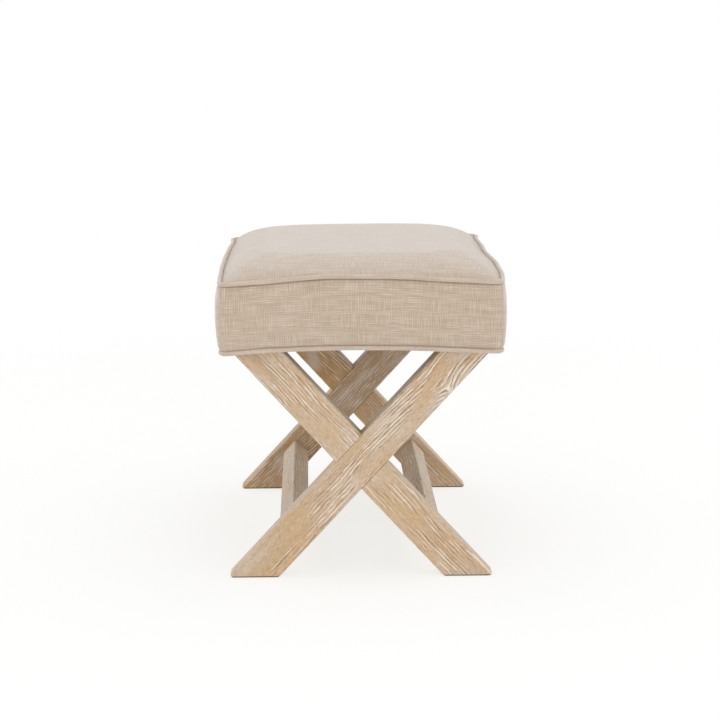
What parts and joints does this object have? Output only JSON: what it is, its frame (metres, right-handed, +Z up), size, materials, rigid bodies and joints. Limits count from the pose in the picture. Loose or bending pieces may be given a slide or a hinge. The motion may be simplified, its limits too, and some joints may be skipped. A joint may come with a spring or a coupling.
{
  "type": "upholstered ottoman",
  "caption": "Boxed and welted linen seat on two crossed-leg oak frames joined by low stretchers; rests free on the floor.",
  "frame": {"origin": "on the floor, under the middle of the seat", "axes": "+Z up; +Y along the seat's long side, from the front crossed frame to the rear one; +X to the right across the short side"},
  "size_m": [0.443, 0.648, 0.5],
  "materials": {
    "oak": "limed oak, brushed grain, matt",
    "beech": "turned beech dowel",
    "pine": "planed pine",
    "plywood": "plywood",
    "steel": "zinc plated",
    "insert_metal": "yellow zinc",
    "felt": "pressed wool felt",
    "foam": "open-cell foam",
    "wadding": "polyester wadding",
    "linen": "slubbed linen plain weave",
    "dust_cloth": "thin non-woven cloth"
  },
  "bodies": {
    "root": {"front_left_leg": "oak", "front_right_leg": "oak", "rear_left_leg": "oak", "rear_right_leg": "oak", "left_stretcher": "oak", "right_stretcher": "oak", "stretcher_dowels": "beech", "front_left_foot_pad": "felt", "front_right_foot_pad": "felt", "rear_left_foot_pad": "felt", "rear_right_foot_pad": "felt", "front_rail": "pine", "rear_rail": "pine", "left_rail": "pine", "right_rail": "pine", "middle_rail": "pine", "rail_dowels": "beech", "corner_blocks": "pine", "leg_bolts": "steel", "leg_washers": "steel", "leg_inserts": "insert_metal", "leg_dowels": "beech", "seat_deck": "plywood", "deck_screws": "steel", "foam_core": "foam", "wadding": "wadding", "top_panel": "linen", "front_band": "linen", "rear_band": "linen", "left_band": "linen", "right_band": "linen", "top_welt": "linen", "bottom_welt": "linen", "cover_hem": "linen", "dust_cover": "dust_cloth"}
  },
  "joints": []
}
